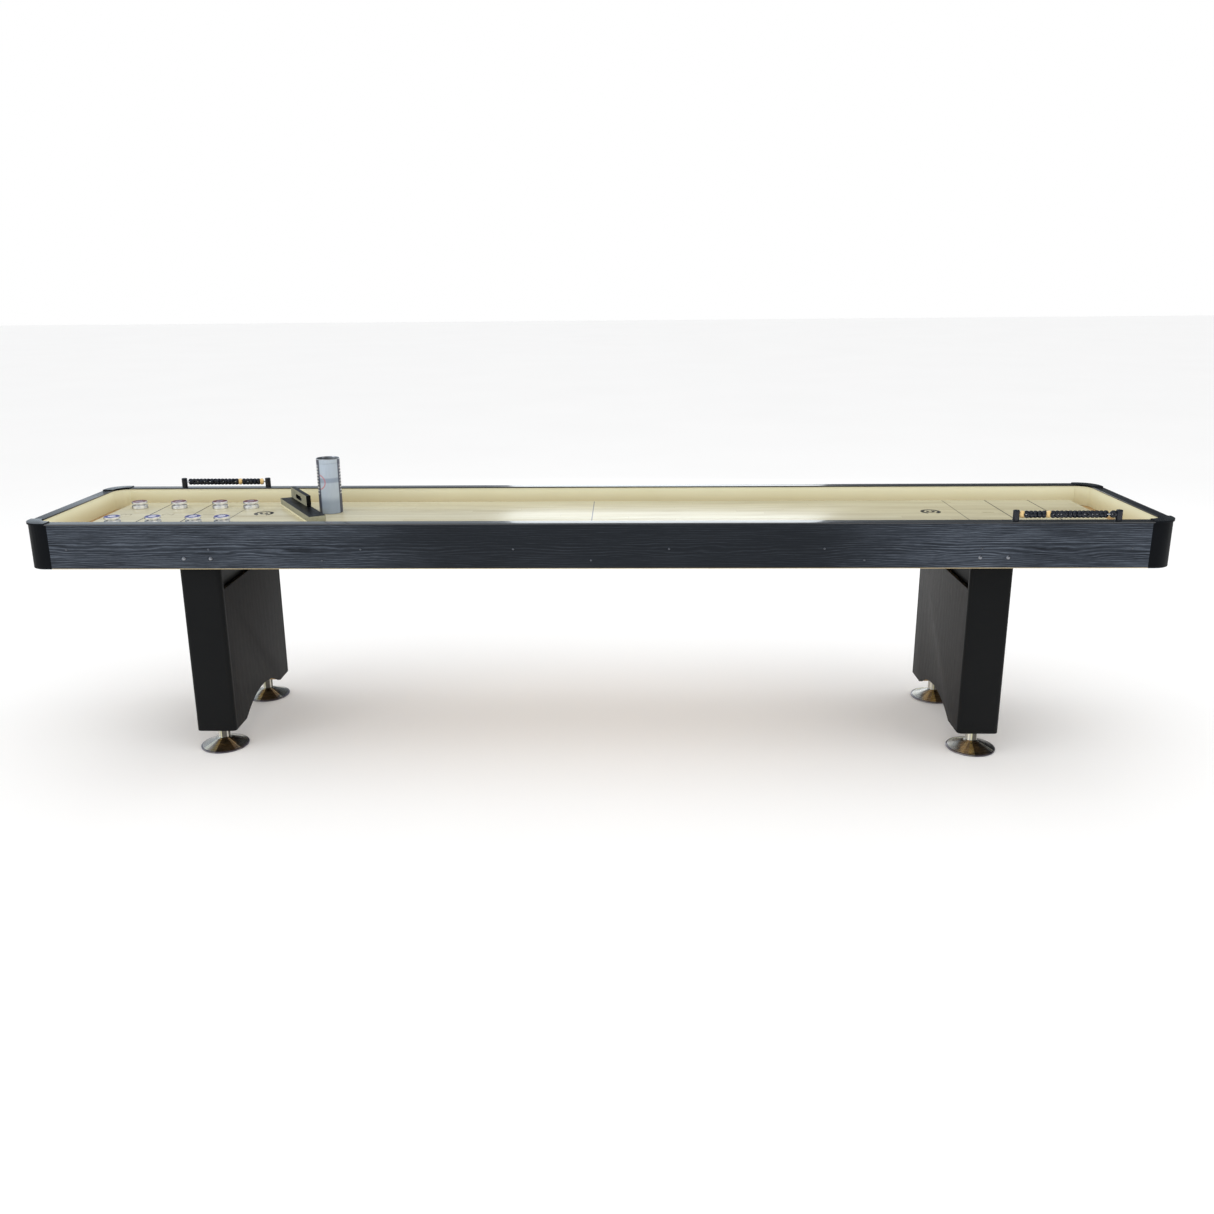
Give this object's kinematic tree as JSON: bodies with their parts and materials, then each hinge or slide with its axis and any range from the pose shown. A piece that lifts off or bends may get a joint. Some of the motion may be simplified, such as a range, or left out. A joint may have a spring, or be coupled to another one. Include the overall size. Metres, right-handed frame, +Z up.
{
  "type": "shuffleboard table",
  "caption": "Long free-standing shuffleboard table: wood-grain cabinet, maple playfield, pedestal legs on screw feet, with bead scorers, pucks, sweep and powder can.",
  "frame": {"origin": "on the floor under the middle of the table", "axes": "+X along the table to the right as seen from the front, +Y to the rear, +Z up"},
  "size_m": [3.662, 0.664, 0.9513],
  "materials": {
    "laminate": "embossed black wood-grain laminate, satin",
    "rail": "black satin moulding",
    "casting": "smooth black moulding",
    "liner": "cream laminate",
    "plywood": "raw plywood",
    "maple": "glossy clear-coated maple planks",
    "leg_black": "smooth black laminate",
    "leg_grain": "black wood-grain laminate",
    "nickel": "spun brass-tinted nickel",
    "chrome": "polished chrome with coloured cap",
    "black_plastic": "gloss black moulding",
    "beech": "varnished light wood",
    "sweep_board": "black stained board",
    "label": "printed card label"
  },
  "bodies": {
    "table": {"cabinet_floor": "plywood", "front_apron": "laminate", "front_left_corner_casting": "casting", "front_left_foot_block": "plywood", "front_liner": "liner", "front_rail": "rail", "front_right_corner_casting": "casting", "front_right_foot_block": "plywood", "front_scorer_rack": "black_plastic", "left_apron": "laminate", "left_cross_beam": "plywood", "left_leg_front_board": "leg_black", "left_leg_inner_panel": "leg_grain", "left_leg_outer_panel": "leg_grain", "left_leg_rear_board": "leg_black", "left_leg_top_beam": "leg_black", "left_liner": "liner", "left_rail": "rail", "middle_cross_beam": "plywood", "playfield": "maple", "rear_apron": "laminate", "rear_left_corner_casting": "casting", "rear_left_foot_block": "plywood", "rear_liner": "liner", "rear_rail": "rail", "rear_right_corner_casting": "casting", "rear_right_foot_block": "plywood", "rear_scorer_rack": "black_plastic", "right_apron": "laminate", "right_cross_beam": "plywood", "right_leg_front_board": "leg_black", "right_leg_inner_panel": "leg_grain", "right_leg_outer_panel": "leg_grain", "right_leg_rear_board": "leg_black", "right_leg_top_beam": "leg_black", "right_liner": "liner", "right_rail": "rail"},
    "front_left_leveller": {"front_left_foot": "nickel"},
    "front_right_leveller": {"front_right_foot": "nickel"},
    "rear_left_leveller": {"rear_left_foot": "nickel"},
    "rear_right_leveller": {"rear_right_foot": "nickel"},
    "red_puck_1": {"red_puck_1": "chrome"},
    "red_puck_2": {"red_puck_2": "chrome"},
    "red_puck_3": {"red_puck_3": "chrome"},
    "red_puck_4": {"red_puck_4": "chrome"},
    "blue_puck_1": {"blue_puck_1": "chrome"},
    "blue_puck_2": {"blue_puck_2": "chrome"},
    "blue_puck_3": {"blue_puck_3": "chrome"},
    "blue_puck_4": {"blue_puck_4": "chrome"},
    "sweep": {"sweep_base": "sweep_board", "sweep_grip": "sweep_board"},
    "can": {"powder_can": "label"},
    "can_lid": {"powder_can_lid": "black_plastic"},
    "rear_beads_1_to_14": {"rear_beads_1_to_14": "black_plastic"},
    "rear_bead_15": {"rear_bead_15": "beech"},
    "rear_beads_16_to_21": {"rear_beads_16_to_21": "black_plastic"},
    "front_beads_2_to_14": {"front_beads_2_to_14": "black_plastic"},
    "front_bead_15": {"front_bead_15": "beech"},
    "front_beads_16_to_21": {"front_beads_16_to_21": "black_plastic"},
    "front_bead_1": {"front_bead_1": "black_plastic"}
  },
  "joints": [
    {"name": "front_left_leveller_screw", "type": "slide", "parent": "table", "child": "front_left_leveller", "axis": [0, 0, -1], "range_m": [0, 0.02]},
    {"name": "front_right_leveller_screw", "type": "slide", "parent": "table", "child": "front_right_leveller", "axis": [0, 0, -1], "range_m": [0, 0.02]},
    {"name": "rear_left_leveller_screw", "type": "slide", "parent": "table", "child": "rear_left_leveller", "axis": [0, 0, -1], "range_m": [0, 0.02]},
    {"name": "rear_right_leveller_screw", "type": "slide", "parent": "table", "child": "rear_right_leveller", "axis": [0, 0, -1], "range_m": [0, 0.02]},
    {"name": "red_puck_1_slide", "type": "slide", "parent": "table", "child": "red_puck_1", "axis": [1, 0, 0], "range_m": [-0.035, 0.044]},
    {"name": "red_puck_2_slide", "type": "slide", "parent": "table", "child": "red_puck_2", "axis": [1, 0, 0], "range_m": [-0.044, 0.046]},
    {"name": "red_puck_3_slide", "type": "slide", "parent": "table", "child": "red_puck_3", "axis": [1, 0, 0], "range_m": [-0.046, 0.028]},
    {"name": "red_puck_4_slide", "type": "slide", "parent": "table", "child": "red_puck_4", "axis": [1, 0, 0], "range_m": [-0.028, 0.075]},
    {"name": "blue_puck_1_slide", "type": "slide", "parent": "table", "child": "blue_puck_1", "axis": [1, 0, 0], "range_m": [-0.05, 0.041]},
    {"name": "blue_puck_2_slide", "type": "slide", "parent": "table", "child": "blue_puck_2", "axis": [1, 0, 0], "range_m": [-0.041, 0.041]},
    {"name": "blue_puck_3_slide", "type": "slide", "parent": "table", "child": "blue_puck_3", "axis": [1, 0, 0], "range_m": [-0.041, 0.021]},
    {"name": "blue_puck_4_slide", "type": "slide", "parent": "table", "child": "blue_puck_4", "axis": [1, 0, 0], "range_m": [-0.021, 0.22]},
    {"name": "sweep_lift", "type": "slide", "parent": "table", "child": "sweep", "axis": [0, 0, 1], "range_m": [0, 0.15]},
    {"name": "can_lift", "type": "slide", "parent": "table", "child": "can", "axis": [0, 0, 1], "range_m": [0, 0.12]},
    {"name": "can_lid_twist", "type": "hinge", "parent": "can", "child": "can_lid", "pos_m": [-0.92383, 0.04939, 0.94], "axis": [0, 0, 1], "range_deg": [0, 90]},
    {"name": "rear_beads_1_to_14_slide", "type": "slide", "parent": "table", "child": "rear_beads_1_to_14", "axis": [1, 0, 0], "range_m": [-0.0055, 0.0055]},
    {"name": "rear_bead_15_slide", "type": "slide", "parent": "table", "child": "rear_bead_15", "axis": [1, 0, 0], "range_m": [-0.0055, 0.0055]},
    {"name": "rear_beads_16_to_21_slide", "type": "slide", "parent": "table", "child": "rear_beads_16_to_21", "axis": [1, 0, 0], "range_m": [-0.0055, 0.0055]},
    {"name": "front_beads_2_to_14_slide", "type": "slide", "parent": "table", "child": "front_beads_2_to_14", "axis": [1, 0, 0], "range_m": [0, 0.005]},
    {"name": "front_bead_15_slide", "type": "slide", "parent": "table", "child": "front_bead_15", "axis": [1, 0, 0], "range_m": [0, 0.005]},
    {"name": "front_beads_16_to_21_slide", "type": "slide", "parent": "table", "child": "front_beads_16_to_21", "axis": [1, 0, 0], "range_m": [0, 0.005]},
    {"name": "front_bead_1_slide", "type": "slide", "parent": "table", "child": "front_bead_1", "axis": [1, 0, 0], "range_m": [-0.005, 0]}
  ],
  "couplings": [
    {"joint": "rear_bead_15_slide", "follows": "rear_beads_1_to_14_slide", "ratio": 1},
    {"joint": "rear_beads_16_to_21_slide", "follows": "rear_beads_1_to_14_slide", "ratio": 1},
    {"joint": "front_bead_15_slide", "follows": "front_beads_2_to_14_slide", "ratio": 1},
    {"joint": "front_beads_16_to_21_slide", "follows": "front_beads_2_to_14_slide", "ratio": 1}
  ]
}
